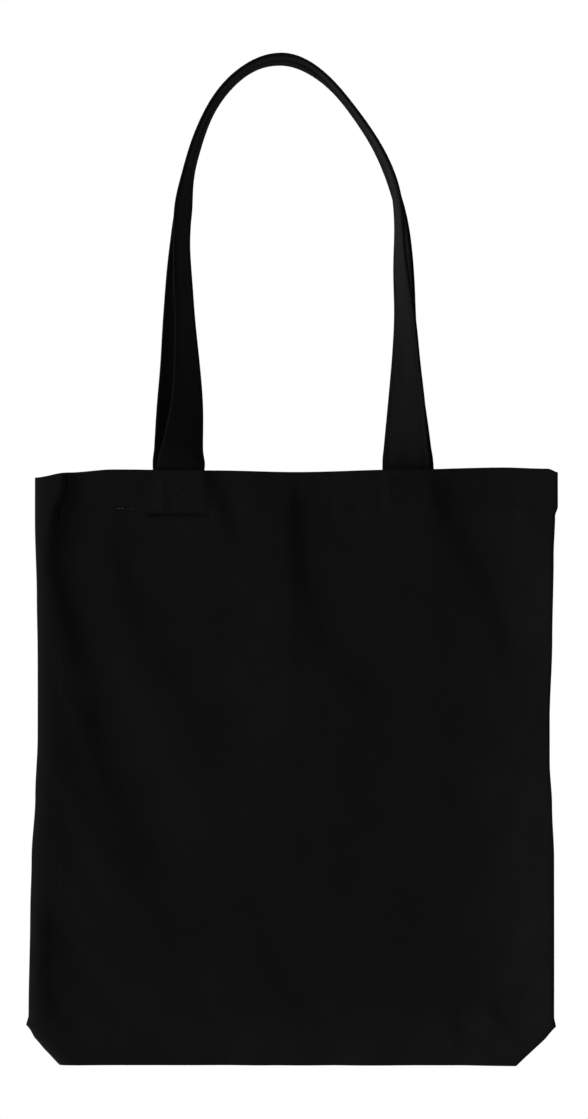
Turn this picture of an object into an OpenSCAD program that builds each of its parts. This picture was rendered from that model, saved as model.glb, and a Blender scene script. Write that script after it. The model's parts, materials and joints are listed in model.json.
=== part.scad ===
// Canvas tote bag, hanging by its two long handles.
// Millimetres. +Z is up and -Y is the front. The origin is where the handles hang over a peg:
// the inside of the loops' top, midway between the front and back straps.

/* [Bag body] */
// Width of the bag across its side seams
body_w = 380; // [320:5:440]
// Height from the bottom fold to the top edge of the hem
body_h = 432; // [360:4:500]
// Front-to-back depth of the base once its gusset is opened out
gusset = 58; // [44:2:80]
// Outside thickness of the bag at the mouth
mouth_gap = 24; // [22:1:40]
// Outside thickness of the bag at the bottom fold
bottom_gap = 16; // [14:1:24]

/* [Cloth] */
// Thickness of one layer of canvas
cloth = 0.8; // [0.6:0.1:0.9]
// Height of the hem that is turned in round the mouth
hem_h = 30; // [26:1:40]
// Width of the raw-edge allowance inside each seam
allowance = 11; // [8:1:14]

/* [Handles] */
// Width of each strap
strap_w = 35; // [28:1:38]
// Thickness of a strap, which is canvas folded over on itself
strap_t = 2.4; // [2:0.1:2.6]
// Distance between the two ends of the front strap, centre to centre
strap_spacing = 165; // [140:1:180]
// How much further apart the back strap's ends are sewn
back_extra = 6; // [0:1:8]
// Height of the loops' top above the hem
drop = 300; // [240:4:340]
// Sideways offset of the loops' top from the middle of the bag
top_shift = -9; // [-15:1:15]

/* [Stitching] */
// Length of one stitch
stitch_len = 3; // [2.4:0.2:3.4]
// Distance from one stitch to the next
stitch_pitch = 4; // [3.8:0.2:5]
// Thickness of the thread
thread = 0.6; // [0.4:0.1:0.8]

/* [Hidden] */

canvas_black = [0.075, 0.075, 0.078];
canvas_inside = [0.09, 0.09, 0.093];
thread_black = [0.11, 0.11, 0.115];

half_w = body_w / 2;
fold = gusset / 2;              // both legs of the slanted bottom corner
edge_half = 3;                  // half the outside thickness at the side seams
clearance = 0.3;                // between the front, which swings open, and what stays
lift = 0.15;                    // between a stitch and the cloth that it lies on
hem_z = body_h - hem_h;
facing = 2 * cloth;             // the hem's turned-in part is two layers
end_len = hem_h - 2;            // length of the strap inside the hem
stitch_inset = 4;               // from a strap's edge to its line of stitching

// ---- Shape of the front of the bag, in bag coordinates: x from the middle, z from the bottom fold

flat_share = 0.69;              // share of the width, across the middle, that hangs flat
side_steps = 6;                 // facets from the flat middle to a side seam
side_us = [for (i = [0 : side_steps]) flat_share + (1 - flat_share) * i / side_steps];

// Full over the middle of the bag, easing to nothing at the side seams, in straight facets
easing = [for (i = [0 : side_steps]) [side_us[i], (1 + cos(180 * i / side_steps)) / 2]];
function fullness(u) = lookup(abs(u), easing);

// Columns across the bag as shares of the half width
across = concat([for (i = [side_steps : -1 : 0]) -side_us[i]], side_us);

// Half the width at a height: the corners below the gusset's fold are slanted
function width_at(z) = half_w - max(0, fold - z);

// Half the outside thickness across the middle at a height
function middle_half(z) = (bottom_gap + (mouth_gap - bottom_gap) * z / body_h) / 2;

function half_depth(x, z) =
    edge_half + (middle_half(z) - edge_half) * fullness(x / width_at(z));

// A point that lies a given depth in from the front's outer surface
function skin(x, z, depth) = [x, depth - half_depth(x, z), z];

// Height of the upturned V that the base makes when it is folded up between the panels
ridge_z = sqrt(pow(fold, 2) - pow(middle_half(0), 2));

// ---- Solids made from grids and rings of points

// Closed solid between an outer and an inner grid of points, given row by row
module slab(outer, inner) {
    rows = len(outer);
    cols = len(outer[0]);
    n = rows * cols;
    function quad(a, b, c, d) = [[a, b, c], [a, c, d]];
    last_row = (rows - 1) * cols;
    faces = concat(
        [for (r = [0 : rows - 2], c = [0 : cols - 2], i = [r * cols + c])
            each quad(i, i + cols, i + cols + 1, i + 1)],
        [for (r = [0 : rows - 2], c = [0 : cols - 2], i = [n + r * cols + c])
            each quad(i, i + 1, i + cols + 1, i + cols)],
        [for (c = [0 : cols - 2]) each quad(c, c + 1, n + c + 1, n + c)],
        [for (c = [last_row : last_row + cols - 2]) each quad(c + 1, c, n + c, n + c + 1)],
        [for (r = [0 : rows - 2], i = [r * cols]) each quad(i + cols, i, n + i, n + i + cols)],
        [for (r = [0 : rows - 2], i = [r * cols + cols - 1])
            each quad(i, i + cols, n + i + cols, n + i)]
    );
    polyhedron(concat([for (row = outer) each row], [for (row = inner) each row]), faces);
}

// Layer of cloth on the front, from one depth to another, over columns us and rows zs
module layer(us, zs, from, to) {
    slab(
        [for (z = zs) [for (u = us) skin(u * width_at(z), z, from)]],
        [for (z = zs) [for (u = us) skin(u * width_at(z), z, to)]]
    );
}

// Closed bar through rings of points. A ring's first half lies opposite its second, in reverse.
module bar(rings) {
    n = len(rings[0]);
    last = (len(rings) - 1) * n;
    cap = [for (k = [0 : n / 2 - 2]) each [[k, k + 1, n - 2 - k], [k, n - 2 - k, n - 1 - k]]];
    polyhedron(
        [for (ring = rings) each ring],
        concat(
            cap,
            [for (r = [0 : len(rings) - 2], k = [0 : n - 1], a = [n * r + k], b = [n * r + (k + 1) % n])
                each [[a, a + n, b + n], [a, b + n, b]]],
            [for (face = cap) [last + face[2], last + face[1], last + face[0]]]
        )
    );
}

// ---- The bag

// Puts what is drawn in bag coordinates in its place under the handles
module hang() translate([-top_shift, 0, -drop - body_h]) children();

module back() mirror([0, 1, 0]) children();

module panel() color(canvas_black) hang()
    layer(across, [0, fold, body_h / 2, hem_z, body_h], 0, cloth);

// The turned-in cloth behind the panel. It stops short of the side seams.
module hem() color(canvas_inside) hang() {
    inset = 1 - 2 / half_w;
    layer([for (u = across) max(-inset, min(inset, u))], [hem_z, body_h], cloth, cloth + facing);
}

// One end of a strap, sewn to the inside of the hem
module strap_end(side, spacing) color(canvas_black) hang() {
    middle = side * spacing / 2;
    layer(
        [(middle - strap_w / 2) / half_w, (middle + strap_w / 2) / half_w],
        [body_h - end_len, body_h - cloth / 2],
        cloth + facing, cloth + facing + strap_t
    );
}

// Row of separate stitches on the front's outer surface, between two points given as [x, z]
module stitch_row(from, to) {
    run = norm(to - from);
    count = max(1, floor(run / stitch_pitch));
    tilt = atan2(to.y - from.y, to.x - from.x);
    for (i = [0 : count - 1]) {
        at = from + (to - from) * (i + 0.5) / count;
        slope = (half_depth(at.x + 1, at.y) - half_depth(at.x - 1, at.y)) / 2;
        translate(skin(at.x, at.y, -lift - thread / 2))
            rotate([0, 0, -atan(slope)])
                rotate([0, -tilt, 0])
                    cube([stitch_len, thread, thread], center = true);
    }
}

module hem_stitches() color(thread_black) hang() {
    reach = half_w - 4;
    stitch_row([-reach, hem_z + 2], [reach, hem_z + 2]);
}

// Square of stitches with a cross in it, which holds one strap end
module box_stitches(side, spacing) color(thread_black) hang() {
    middle = side * spacing / 2;
    x = [middle - strap_w / 2 + stitch_inset, middle + strap_w / 2 - stitch_inset];
    z = [hem_z + 5, body_h - 4];
    tall = z[1] - z[0];
    stitch_row([x[0], z[0]], [x[1], z[0]]);
    stitch_row([x[0], z[1]], [x[1], z[1]]);
    for (k = [0, 1]) stitch_row([x[k], z[0] + 1], [x[k], z[1] - 1]);
    stitch_row([x[0] + 2, z[0] + 2], [x[1] - 2, z[1] - 2]);
    // The other arm of the cross stops short of the first, on both sides of it
    for (ends = [[0.08, 0.42], [0.58, 0.92]])
        stitch_row(
            [x[0] + (x[1] - x[0]) * ends[0], z[1] - tall * ends[0]],
            [x[0] + (x[1] - x[0]) * ends[1], z[1] - tall * ends[1]]
        );
}

// The base, folded up between the panels along its middle
module base_gusset() {
    xs = [for (u = across) u * (half_w - fold)];
    function foot(x) = half_depth(x, 0) - cloth - clearance;
    under = [for (side = [-1, 1]) [for (x = xs) [x, side * (foot(x) - cloth), 0]]];
    over = [for (side = [-1, 1]) [for (x = xs) [x, side * foot(x), 0]]];
    color(canvas_black) hang() slab(
        [over[0], [for (x = xs) [x, -cloth, ridge_z]], [for (x = xs) [x, cloth, ridge_z]], over[1]],
        [under[0], [for (x = xs) [x, -0.1, ridge_z - facing]],
            [for (x = xs) [x, 0.1, ridge_z - facing]], under[1]]
    );
}

// Raw edges of the base's middle seam, which stand up inside the bag
module bottom_seam() color(canvas_inside) hang() {
    reach = half_w - fold;
    translate([-reach, -cloth, ridge_z]) cube([2 * reach, facing, allowance]);
}

// Side seam: a closing strip at the edge, and the raw edges that lie flat inside
module side_seam(side) color(canvas_inside) hang() {
    strip = 1.2;
    inner_half = edge_half - cloth;
    low = fold + clearance;
    mirror([side < 0 ? 1 : 0, 0, 0]) {
        translate([half_w - strip, clearance - inner_half, low])
            cube([strip, 2 * inner_half - clearance, hem_z - low]);
        translate([half_w - strip - allowance, -cloth, low])
            cube([allowance, facing, hem_z - low]);
        translate([half_w - strip - allowance, -clearance, hem_z])
            cube([allowance + strip, 2 * clearance, hem_h - cloth]);
    }
}

// A flat piece that stands upright in the left or right bottom corner, from y up to y + thickness
module corner_piece(side, outline, y, thickness)
    mirror([side < 0 ? 1 : 0, 0, 0])
        translate([0, y + thickness, 0])
            rotate([90, 0, 0])
                linear_extrude(thickness) polygon(outline);

corner_x = half_w - fold + clearance;

// Both layers of the corner that is folded in behind the slanted edge
module corner_tuck(side) color(canvas_black) hang() {
    outline = [[corner_x, 1], [half_w - 1.5, fold - 0.5], [corner_x, fold - 0.5]];
    corner_piece(side, outline, -cloth, facing);
}

// Raw edges of the short seam that closes the base's end, folded flat against the tuck
module corner_seam(side) color(canvas_inside) hang() {
    outline = [
        [corner_x, 2], [corner_x + allowance, allowance + 2],
        [corner_x + allowance, fold - 2], [corner_x, fold - 2]
    ];
    corner_piece(side, outline, cloth + lift, cloth);
}

// ---- The handles, in the part's own frame

loop_steps = 26;                            // rings on each side of a loop
strap_rest_y = mouth_gap / 2 - cloth - facing - strap_t / 2;
strap_gap = 2;                              // from a strap's edge to the plane between the two
strap_top_y = strap_w / 2 + strap_gap;

// A side of a loop is a smooth curve up from the hem to the loop's top. Its middle control points are
// [share of the end's distance from the top, to the side; share of the way down from the top]. How it
// turns is in the last pair, see turn().
front_sides = [
    [[0.70, 0.56], [1.35, 0.47], [0.94, 0], [0.50, 1.60]],
    [[0.99, 0.07], [0.95, 0.43], [0.61, 0], [0.75, 2.10]]
];
back_sides = [
    [[1.11, 0.34], [0.87, 0.30], [0.79, 0], [0.55, 1.60]],
    [[0.87, 0.09], [1.09, 0.56], [0.68, 0], [0.65, 1.80]]
];

// The point at t on a curve with these control points
function curve_point(points, t) =
    len(points) == 1 ? points[0]
    : curve_point([for (i = [1 : len(points) - 1]) points[i - 1] * (1 - t) + points[i] * t], t);

function curve_way(points, t) = curve_point([for (i = [1 : len(points) - 1]) points[i] - points[i - 1]], t);

// Control points of one side in [x, z], from just above the hem at x = base up to the loop's top
function side_curve(base, shape) =
    let (top = strap_t / 2)
    [
        [base, clearance - drop],
        [shape[0].x * base, top - shape[0].y * drop],
        [shape[1].x * base, top - shape[1].y * drop],
        [shape[2].x * base, top],
        [0, top]
    ];

function ease(share) = let (t = min(max(share, 0), 1)) t * t * (3 - 2 * t);

// The angle that the strap has turned from facing forward, at a share of the way up to the top, where
// its width lies from front to back. Start is how slowly the turn starts, and early how soon it ends.
function turn(up, start, early) =
    90 * (1 - pow(1 - pow(min(max(up, 0), 1), start), early)) * ease((up + 0.01) / 0.05);

// Rings along a strap, each the same section given as points [across, out] from its middle. Both straps
// turn the same way, and so lie one behind the other. Depth is -1 for the front strap and 1 for the back.
function strap_rings(section, spacing, sides, depth) = [
    for (side = [-1, 1])
        let (
            shape = sides[side < 0 ? 0 : 1],
            curve = side_curve(side * spacing / 2 - top_shift, shape)
        )
        for (i = [side < 0 ? 0 : 1 : loop_steps])
            let (
                t = pow((side < 0 ? i : loop_steps - i) / loop_steps, 1.5),
                at = curve_point(curve, t),
                up = (at.y - curve[0].y) / (strap_t / 2 - curve[0].y),
                slope = curve_way(curve, t),
                // it leaves the hem straight up, and leans from there
                way = [slope.x * ease(up / 0.05), slope.y],
                along = way / norm(way) * -side,
                outward = [-along.y, 0, along.x],
                angle = turn(up, shape[3].x, shape[3].y),
                s = sin(angle),
                c = cos(angle),
                face = [0, -c, 0] - s * outward,
                wide = [0, s, 0] - c * outward,
                y = depth * (strap_rest_y + (strap_top_y - strap_rest_y) * s)
            )
            [for (point = section) [at.x, y, at.y] - wide * point.x + face * point.y]
];

// The strap's section, with a narrow facet under each line of stitching
line_x = strap_w / 2 - stitch_inset;
section_xs = [-strap_w / 2, -line_x - thread / 2, -line_x + thread / 2,
    line_x - thread / 2, line_x + thread / 2, strap_w / 2];
strap_section = concat(
    [for (x = section_xs) [x, -strap_t / 2]],
    [for (x = section_xs) [-x, strap_t / 2]]
);

module strap(spacing, sides, depth) color(canvas_black)
    bar(strap_rings(strap_section, spacing, sides, depth));

// A line of stitching near both edges of the strap, on both faces
module strap_stitches(spacing, sides, depth) color(thread_black)
    for (edge = [-1, 1], face = [-1, 1]) {
        out = face * (strap_t / 2 + lift + thread / 2);
        corners = [[-1, -1], [1, -1], [1, 1], [-1, 1]] * thread / 2;
        bar(strap_rings([for (k = corners) [edge * line_x, out] + k], spacing, sides, depth));
    }

back_spacing = strap_spacing + back_extra;

panel();  // front_panel
hem();  // front_hem
hem_stitches();  // front_hem_stitches
strap_end(-1, strap_spacing);  // front_strap_left_end
strap_end(1, strap_spacing);  // front_strap_right_end
box_stitches(-1, strap_spacing);  // front_left_box_stitches
box_stitches(1, strap_spacing);  // front_right_box_stitches
back() panel();  // back_panel
back() hem();  // back_hem
back() hem_stitches();  // back_hem_stitches
back() strap_end(-1, back_spacing);  // back_strap_left_end
back() strap_end(1, back_spacing);  // back_strap_right_end
back() box_stitches(-1, back_spacing);  // back_left_box_stitches
back() box_stitches(1, back_spacing);  // back_right_box_stitches
base_gusset();
bottom_seam();
side_seam(-1);  // left_side_seam
side_seam(1);  // right_side_seam
corner_tuck(-1);  // left_corner_tuck
corner_tuck(1);  // right_corner_tuck
corner_seam(-1);  // left_corner_seam
corner_seam(1);  // right_corner_seam
strap(strap_spacing, front_sides, -1);  // front_strap
strap_stitches(strap_spacing, front_sides, -1);  // front_strap_stitches
strap(back_spacing, back_sides, 1);  // back_strap
strap_stitches(back_spacing, back_sides, 1);  // back_strap_stitches
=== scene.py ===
"""The looks of a black canvas tote bag that hangs by its handles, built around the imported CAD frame.

Shapes are worked out in bag coordinates, in millimetres: x from the middle of the bag, y from the plane
between front and back, z from the bottom fold. to_frame() turns them into the frame's metres.
"""
import json
import math

import bpy
import numpy as np
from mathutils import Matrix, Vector


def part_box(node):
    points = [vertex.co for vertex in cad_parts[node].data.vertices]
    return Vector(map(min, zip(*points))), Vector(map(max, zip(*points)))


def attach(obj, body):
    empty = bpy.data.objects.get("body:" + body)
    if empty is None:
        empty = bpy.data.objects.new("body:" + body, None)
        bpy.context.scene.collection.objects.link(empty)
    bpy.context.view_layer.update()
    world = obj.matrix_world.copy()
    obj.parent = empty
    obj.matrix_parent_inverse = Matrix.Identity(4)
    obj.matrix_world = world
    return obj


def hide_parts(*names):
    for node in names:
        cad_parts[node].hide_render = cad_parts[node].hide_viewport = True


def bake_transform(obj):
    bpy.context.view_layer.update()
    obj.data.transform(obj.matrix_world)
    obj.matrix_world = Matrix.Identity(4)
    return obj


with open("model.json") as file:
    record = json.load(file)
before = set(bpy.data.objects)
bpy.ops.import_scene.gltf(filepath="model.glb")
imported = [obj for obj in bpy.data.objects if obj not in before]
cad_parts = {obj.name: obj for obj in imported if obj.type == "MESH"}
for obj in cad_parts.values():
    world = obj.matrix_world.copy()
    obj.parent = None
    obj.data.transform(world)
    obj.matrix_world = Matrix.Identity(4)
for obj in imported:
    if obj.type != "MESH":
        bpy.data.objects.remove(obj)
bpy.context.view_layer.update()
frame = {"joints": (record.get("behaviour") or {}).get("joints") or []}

MM = 0.001
SIDES = ("front", "back")
JOINTS = {joint["name"]: joint for joint in frame["joints"]}


def box_mm(node):
    """A node's lowest and highest corners in bag coordinates."""
    return [(np.array(corner) - ORIGIN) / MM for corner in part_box(node)]


# ---------------- sizes, from the frame

panel_low, panel_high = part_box("front_panel")
ORIGIN = np.array([(panel_low.x + panel_high.x) / 2, 0.0, panel_low.z])
HALF_W = (panel_high.x - panel_low.x) / 2 / MM
HEIGHT = (panel_high.z - panel_low.z) / MM
HEM_Z = box_mm("front_hem")[0][2]
FOLD = HALF_W - box_mm("base_gusset")[1][0]  # legs of the slanted bottom corner
RIDGE_Z = box_mm("base_gusset")[1][2]  # top of the base, folded up inside
SEAM_TOP_Z = box_mm("bottom_seam")[1][2]
MOUTH_HALF = -panel_low.y / MM  # half the outside thickness at the mouth
CLOTH = 0.8
BOTTOM_HALF = -JOINTS["mouth"]["pos_m"][1] / MM + CLOTH
EDGE_HALF = 0.9  # half the thickness at the very edge
SIDE_HALF = 2.7  # and a little way in, where the layers lie together
CORNER_HALF = 4.6  # the same, beside the folded base
FACING = 2 * CLOTH  # the hem's two turns inside the outer cloth
HEM_LINE_UP = 2  # from the hem's lower edge to its stitching
ALLOWANCE = 11  # of the seams inside

STRAPS = {}
for side in SIDES:
    left_low, left_high = box_mm(f"{side}_strap_left_end")
    right_low, right_high = box_mm(f"{side}_strap_right_end")
    loop_low, loop_high = box_mm(f"{side}_strap")
    STRAPS[side] = {
        "ends": ((left_low[0] + left_high[0]) / 2, (right_low[0] + right_high[0]) / 2),
        "width": left_high[0] - left_low[0],
        "tail": HEIGHT - left_low[2],
        "gap": min(abs(loop_low[1]), abs(loop_high[1])),
    }
STRAP_T = 2.4
STRAP_W = STRAPS["front"]["width"]
LOOP_X, PEG_Z = -ORIGIN[0] / MM, -ORIGIN[2] / MM  # where the loops hang over the peg

# ---------------- helpers


def to_frame(points):
    return np.asarray(points, float) * MM + ORIGIN


def smooth(t):
    t = np.clip(t, 0, 1)
    return t * t * (3 - 2 * t)


def ramp(value, start, end):
    """0 at start and 1 at end, eased. Start may be above end."""
    return smooth((value - start) / (end - start))


def bell(away, spread):
    """1 where away is 0, falling off to both sides."""
    return np.exp(-((away / spread) ** 2))


def unit(ways):
    return ways / np.linalg.norm(ways, axis=-1, keepdims=True)


def along(value, knots):
    """Eased values between given (place, value) pairs."""
    places, values = np.array(sorted(knots), float).T
    i = np.clip(np.searchsorted(places, value) - 1, 0, len(places) - 2)
    t = smooth((value - places[i]) / (places[i + 1] - places[i]))
    return values[i] + (values[i + 1] - values[i]) * t


def ripples(x, z, size, seed):
    """Soft noise, mostly from -1 to 1, that repeats nowhere on the bag. Size is its usual wavelength."""
    rng = np.random.default_rng(seed)
    total = np.zeros(np.broadcast(x, z).shape)
    count = 9
    for _ in range(count):
        angle, phase = rng.uniform(0, 2 * math.pi, 2)
        k = 2 * math.pi / (size * rng.uniform(0.7, 1.6))
        total = total + np.sin(k * (x * math.cos(angle) + z * math.sin(angle)) + phase)
    return total / math.sqrt(count / 2) / 2


def add_object(name, data):
    obj = bpy.data.objects.new(name, data)
    bpy.context.scene.collection.objects.link(obj)
    return obj


def mesh_object(name, points, faces, uvs=None):
    """A smooth-shaded mesh object from bag coordinates. uvs holds each point's place on the flat cloth, in
    millimetres too, and the mesh gets it in metres."""
    mesh = bpy.data.meshes.new(name)
    mesh.from_pydata(to_frame(points).tolist(), [], [list(map(int, f)) for f in faces])
    mesh.validate()
    mesh.shade_smooth()
    if uvs is not None:
        layer = mesh.uv_layers.new(name="cloth")
        corner = np.empty(len(mesh.loops), np.int32)
        mesh.loops.foreach_get("vertex_index", corner)
        layer.data.foreach_set("uv", (np.asarray(uvs, float) * MM)[corner].astype(np.float32).ravel())
    return add_object(name, mesh)


def grid_faces(rows, cols, closed=False):
    """Quads of a grid of points given row by row. A closed grid joins its last column to its first."""
    r, c = np.meshgrid(np.arange(rows - 1), np.arange(cols if closed else cols - 1), indexing="ij")
    a = r * cols + c
    b = r * cols + (c + 1) % cols
    return np.stack([a, b, b + cols, a + cols], -1).reshape(-1, 4)


def thicken(obj, thickness):
    """Gives a sheet its thickness, half of it to each side."""
    modifier = obj.modifiers.new("thickness", "SOLIDIFY")
    modifier.thickness = thickness * MM
    modifier.offset = 0.0
    modifier.use_even_offset = False


def follow_front(obj):
    """Moves a piece's placement into its points."""
    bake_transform(obj)


# ---------------- shape of the body

# Places where the cloth drops away to the right, from the top of each fold down:
# (x, z) points, the drop, half its width at the fold's top and bottom, and how far it spreads sideways
FRONT_FOLDS = [
    ([(-162, 462), (-165, 434), (-167, 418), (-173, 405), (-177, 385), (-178, 365), (-170, 335), (-160, 300),
      (-148, 245)], 5.4, 2.4, 9, 22),
    ([(-165, 452), (-167, 434), (-168, 418), (-174, 406), (-174, 396), (-176, 372)], 3.0, 1.2, 2.2, 5),
    ([(-156, 276), (-150, 245), (-142, 218), (-129, 186), (-110, 150), (-84, 104)], 8.4, 9, 17, 36),
    ([(-140, 392), (-124, 346), (-109, 309), (-94, 285), (-79, 258), (-62, 225), (-42, 180)], 5.4, 8, 17, 36),
    ([(-66, 438), (-58, 416), (-50, 398), (-38, 366)], 3.0, 4, 8, 16),
    ([(-4, 434), (0, 400), (2, 368), (8, 339), (17, 312), (30, 292), (52, 273), (84, 236)], 5.2, 4.5, 15, 32),
    ([(100, 436), (114, 393), (131, 366), (143, 341), (151, 315), (158, 298), (168, 266)], 5.0, 7, 10, 30),
    ([(6, 268), (30, 230), (46, 180), (52, 120)], 2.2, 14, 20, 36),
    ([(84, 224), (108, 196), (130, 150), (134, 100)], 1.6, 14, 20, 36),
    ([(-30, 100), (-16, 72), (4, 42), (30, 22)], 2.4, 7, 11, 22),
    ([(-100, 110), (-80, 70), (-60, 30)], 1.6, 10, 12, 24),
    ([(142, 44), (152, 34), (161, 22), (164, 6)], 3.6, 3.5, 6, 12),
    ([(116, 46), (119, 24), (120, 2)], 1.7, 4, 4, 9),
    ([(-178, 116), (-179, 66), (-172, 36), (-148, 22)], 3.6, 4, 7, 13),
]
BACK_FOLDS = [
    ([(-100, 408), (-88, 360), (-66, 312), (-44, 270), (-22, 232)], 7.6, 5, 12, 30),
    ([(20, 416), (26, 384), (38, 340), (56, 300), (82, 262)], 8.0, 4, 12, 30),
    ([(102, 396), (98, 360), (90, 320), (88, 280)], 5.0, 5, 10, 24),
    ([(-110, 220), (-96, 176), (-74, 132), (-50, 92)], 7.4, 8, 14, 32),
    ([(40, 200), (60, 156), (82, 112), (100, 70)], 6.6, 8, 14, 32),
]
# a sharp crooked crease across the hem, where front and back lie together, so that both have it: its line,
# its depth and about half its width
PINCH = [
    (-167.6, 440), (-167.8, 419), (-170, 414), (-172.2, 410), (-173.8, 406), (-173.2, 402), (-175, 396),
    (-175.4, 388),
]
PINCH_DEPTH, PINCH_HALF = 4.0, 1.3
# creases from having lain folded, as (z, x) points of the upright one and (x, z) points of the level one
CREASE_X = [(0, 2), (115, 3), (260, -2), (432, -5)]
CREASE_Z = [(-190, 208), (-60, 212), (60, 212), (190, 209)]
# how far to the right of straight ones the side edges lie, as (z, amount) from the bottom up
LEFT_EDGE = [
    (0, -11), (10, -10), (18, -8.6), (27, -5), (36, -2.8), (110, -1.4), (150, -0.5), (195, 2.2), (240, 4),
    (300, 4), (340, 3.5), (400, 2), (432, 2),
]
RIGHT_EDGE = [
    (0, 2.6), (18, 2.8), (27, 0.9), (36, -0.9), (150, -0.9), (190, -2.4), (220, -4), (250, -4), (310, -2.0),
    (370, -0.9), (400, 0.2), (407, 2.2), (432, 2.2),
]
# how far above a level one the top edge lies, as (x, amount), and over what height below it this fades
HEM_TOP = [
    (-190, -4.4), (-166, -0.7), (-133, 1.5), (-60, 0.8), (0, -0.4), (80, 1.5), (150, 2.9), (183, 2.0),
    (190, -0.5),
]
HEM_TOP_FADE = 90
BULGE = [(0, 0), (40, 0.9), (150, -0.4), (300, -0.6), (400, 0)]  # of the bag's middle, as (z, amount)
EDGE_SHARPNESS = 120  # the higher, the closer to its very edge the bag keeps its thickness
LOOSE, TOGETHER = 0.56, 0.96  # shares of the half width between which front and back come together

# how far the cloth's smaller features stand out or lie in
UPRIGHT_CREASE, LEVEL_CREASE = 0.8, 0.4
SWELLS, LUMPS = 1.5, 0.35
HEM_PUCKERS, HEM_STITCHES_IN = 0.5, 0.2
BOTTOM_PUCKERS, BOTTOM_OUT = 1.5, 1.6
STRAP_END_OUT = 0.9  # over the strap ends, which lie under the hem
TABS_IN = (3.6, 0.4)  # just under the hem, at the left and the right strap

# how far the sides hang forward of where the front would put them
EDGES_FORWARD = 4.2  # both edges
LEFT_ROLL, RIGHT_ROLL = -3.6, 2.4  # the seams themselves: the left one rolls back and the right one forward
RIGHT_HALF_FORWARD = 3.0  # the right half, more and more towards its edge
RIGHT_EDGE_FORWARD = 2.0  # its outer part, on top of that
RIGHT_LOW_FORWARD = 5.5  # and the same part again, low down


def polyline_place(x, z, line):
    """For each point, its distance to the right of a line that runs down, and its share of the way down."""
    pts = np.array(line, float)
    steps = np.diff(pts, axis=0)
    lengths = np.hypot(*steps.T)
    starts = np.concatenate([[0], np.cumsum(lengths)[:-1]])
    best = np.full(x.shape, np.inf)
    signed = np.zeros(x.shape)
    share = np.zeros(x.shape)
    for start, step, length, before in zip(pts, steps, lengths, starts):
        dx, dz = x - start[0], z - start[1]
        t = (dx * step[0] + dz * step[1]) / length**2
        held = np.clip(t, 0, 1)
        gap = np.hypot(dx - held * step[0], dz - held * step[1])
        right = np.sign(dz * step[0] - dx * step[1])
        closer = gap < best
        best = np.where(closer, gap, best)
        signed = np.where(closer, gap * right, signed)
        share = np.where(closer, (before + held * length) / lengths.sum(), share)
    return signed, share


def fold_height(x, z, line, drop, top_half, bottom_half, spread):
    """A soft step down across the line, which dies out towards its ends and on both sides of it."""
    aside, share = polyline_place(x, z, line)
    half = top_half + (bottom_half - top_half) * share
    fade = smooth(share / 0.14) * smooth((1 - share) / 0.3)
    step = (aside / half) / np.sqrt(1 + (aside / half) ** 2)
    return -drop / 2 * fade * step * bell(aside, spread + half)


def relief(side, x, z):
    """How far the cloth stands out from its plain shape."""
    seed, folds = (11, FRONT_FOLDS) if side == "front" else (47, BACK_FOLDS)
    out = np.zeros(x.shape)
    for fold in folds:
        out += fold_height(x, z, *fold)
    below_hem = ramp(z, HEM_Z + 4, HEM_Z - 14)
    above_fold = ramp(z, 2, 40)
    upright = x - along(z, CREASE_X)
    level = np.abs(z - along(x, CREASE_Z))
    worn = 0.7 + 0.3 * ripples(x, z, 60, seed + 1)
    out += UPRIGHT_CREASE * worn * np.exp(-np.abs(upright) / 6) * (0.3 + 0.7 * below_hem)
    out += LEVEL_CREASE * worn * np.exp(-level / 5) * below_hem
    out += SWELLS * ripples(x, z, 170, seed + 2) * below_hem * above_fold
    out += LUMPS * ripples(x, z, 46, seed + 3)
    # the cloth puckers on both sides of the hem's stitching, which draws it in
    over_line = z - HEM_Z - HEM_LINE_UP
    out += HEM_PUCKERS * bell(over_line, 11) * ripples(x, z * 0.3, 22, seed + 4)
    out -= HEM_STITCHES_IN * bell(over_line, 1.5)
    # ripples run up from the folded bottom edge
    out += BOTTOM_PUCKERS * np.exp(-z / 22) * ripples(x, z * 0.25, 38, seed + 5)
    out += BOTTOM_OUT * np.exp(-z / 9) * ramp(x, -90, 40)
    out += settled(side, x, z)
    if side == "front":
        aside, share = polyline_place(x, z, PINCH)
        out -= PINCH_DEPTH * bell(aside, PINCH_HALF) * smooth((1 - share) / 0.4)
    for end, tab_in in zip(STRAPS[side]["ends"], TABS_IN):
        aside = np.abs(x - end)
        across = ramp(aside, STRAP_W / 2 + 2.4, STRAP_W / 2 - 0.8)
        out += STRAP_END_OUT * across * ramp(z, HEM_Z + 0.5, HEM_Z + 4.5)
        out -= tab_in * (bell(z - HEM_Z + 2.4, 2.0) * ramp(aside, STRAP_W / 2 + 8, STRAP_W / 2 + 2))
    return out


def half_width(z):
    """Half the width of the flat bag, which the slanted corners narrow at the bottom."""
    return HALF_W - np.maximum(0, FOLD - z)


def width_share(x, z):
    return np.clip(np.abs(x) / half_width(z), 0, 1)


def together(x, z):
    """1 at the sides, where the front and the back lie on each other, and 0 from the straps inwards."""
    return ramp(width_share(x, z), LOOSE, TOGETHER)


def middle_half(z):
    return BOTTOM_HALF + (MOUTH_HALF - BOTTOM_HALF) * z / HEIGHT + along(z, BULGE)


def side_half(z):
    return SIDE_HALF + (CORNER_HALF - SIDE_HALF) * ramp(z, FOLD + 60, FOLD + 5)


def half_thickness(x, z):
    """Half the outside thickness of the bag, without its folds: it ends in a thin rounded edge."""
    half = middle_half(z) + (side_half(z) - middle_half(z)) * together(x, z)
    return EDGE_HALF + (half - EDGE_HALF) * np.sqrt(1 - width_share(x, z) ** EDGE_SHARPNESS)


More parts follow.
